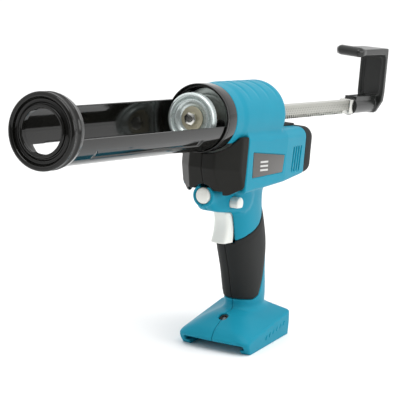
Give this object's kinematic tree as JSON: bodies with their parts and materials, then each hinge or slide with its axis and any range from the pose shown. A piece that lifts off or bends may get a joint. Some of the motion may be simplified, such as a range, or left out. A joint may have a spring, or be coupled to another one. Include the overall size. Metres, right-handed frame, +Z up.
{
  "type": "cordless caulking gun",
  "caption": "Battery caulking gun with a half-open cartridge trough, geared push rod with a hooked pull handle, trigger grip and a battery foot.",
  "frame": {"origin": "on the floor under the middle of the gun, between the undersides of its foot rails", "axes": "+X towards the back of the gun, +Y to the user's right, +Z up; the barrel axis is tipped nose up by 7.4 degrees about Y"},
  "size_m": [0.5801, 0.069, 0.2688],
  "materials": {
    "teal_plastic": "satin moulded plastic",
    "black_paint": "high gloss black paint on steel",
    "rubber": "soft over-moulded rubber",
    "black_plastic": "fine textured black plastic",
    "white_plastic": "satin white plastic",
    "steel": "machined steel",
    "zinc": "bright zinc plated metal",
    "brass": "sintered bronze",
    "copper": "copper winding and contacts",
    "circuit_board": "green lacquered board"
  },
  "bodies": {
    "body": {"front_plate": "zinc", "plate_screw_1": "black_plastic", "plate_screw_2": "black_plastic", "plate_screw_3": "black_plastic", "rod_bush_front": "brass", "rod_bush_rear": "black_plastic", "gear_case": "zinc", "ring_gear": "zinc", "motor_can": "zinc", "motor_end_plate": "black_plastic", "body_shell_left": "teal_plastic", "body_shell_right": "teal_plastic", "gear_cover_left": "rubber", "gear_cover_right": "rubber", "rear_bumper": "rubber", "grip_pad_left": "rubber", "grip_pad_right": "rubber", "grip_pad_rear": "rubber", "label_plate": "black_plastic", "lamp_bezel": "black_plastic", "lamp_lens": "white_plastic", "terminal_block": "black_plastic", "terminal_plus": "copper", "terminal_minus": "copper", "shell_screw_1": "steel", "shell_screw_2": "steel", "shell_screw_3": "steel", "switch_module": "black_plastic", "control_board": "circuit_board"},
    "holder": {"nose_ring": "black_paint", "holder_trough": "black_paint", "collar_ring": "black_paint"},
    "push_rod": {"rack_rod": "steel", "piston": "zinc", "piston_washer": "steel", "piston_bolt": "steel", "piston_nut": "steel", "rod_end_block": "steel", "handle_flange": "black_plastic", "pull_handle": "black_plastic"},
    "drive_shaft": {"drive_shaft": "steel", "drive_pinion": "steel", "output_gear": "steel"},
    "layshaft": {"layshaft": "steel", "layshaft_gear": "steel"},
    "bevel_gear": {"bevel_gear": "steel"},
    "planet_carrier": {"bevel_pinion": "steel", "planet_carrier": "steel", "planet_gear_1": "steel", "planet_gear_2": "steel", "planet_gear_3": "steel"},
    "motor_rotor": {"motor_shaft": "steel", "motor_rotor": "copper", "sun_gear": "brass", "cooling_fan": "black_plastic"},
    "trigger": {"trigger": "white_plastic", "trigger_spring": "steel"},
    "lock_off_button": {"lock_off_button": "white_plastic"},
    "speed_dial": {"speed_dial": "white_plastic"}
  },
  "joints": [
    {"name": "rod_slide", "type": "slide", "parent": "body", "child": "push_rod", "axis": [-0.9917, 0, 0.1288], "range_m": [0, 0.172]},
    {"name": "holder_turn", "type": "hinge", "parent": "body", "child": "holder", "pos_m": [-0.05272, 0, 0.21027], "axis": [0.9917, 0, -0.1288], "continuous": true},
    {"name": "drive_shaft_spin", "type": "hinge", "parent": "body", "child": "drive_shaft", "pos_m": [-0.02232, 0, 0.18812], "axis": [0, 1, 0], "continuous": true},
    {"name": "layshaft_spin", "type": "hinge", "parent": "body", "child": "layshaft", "pos_m": [-0.01095, 0, 0.17157], "axis": [0, 1, 0], "continuous": true},
    {"name": "bevel_gear_spin", "type": "hinge", "parent": "body", "child": "bevel_gear", "pos_m": [-0.01095, 0, 0.17157], "axis": [0, 1, 0], "continuous": true},
    {"name": "motor_spin", "type": "hinge", "parent": "body", "child": "motor_rotor", "pos_m": [0.05212, 0, 0.16338], "axis": [0.9917, 0, -0.1288], "continuous": true},
    {"name": "planet_carrier_spin", "type": "hinge", "parent": "body", "child": "planet_carrier", "pos_m": [0.01245, 0, 0.16853], "axis": [0.9917, 0, -0.1288], "continuous": true},
    {"name": "trigger_pull", "type": "slide", "parent": "body", "child": "trigger", "axis": [0.9917, 0, -0.1288], "range_m": [0, 0.006], "stiffness_N_per_m": 900, "springref_m": -0.002},
    {"name": "lock_off_push", "type": "slide", "parent": "body", "child": "lock_off_button", "axis": [0, 1, 0], "range_m": [0, 0.004]},
    {"name": "speed_dial_turn", "type": "hinge", "parent": "body", "child": "speed_dial", "pos_m": [-0.04535, 0, 0.14276], "axis": [0.9917, 0, -0.1288], "range_deg": [0, 270]}
  ],
  "couplings": [
    {"joint": "drive_shaft_spin", "follows": "rod_slide", "rad_per_m": -80},
    {"joint": "layshaft_spin", "follows": "rod_slide", "rad_per_m": 120},
    {"joint": "planet_carrier_spin", "follows": "motor_spin", "ratio": 0.19048},
    {"joint": "bevel_gear_spin", "follows": "motor_spin", "ratio": 0.095238}
  ]
}
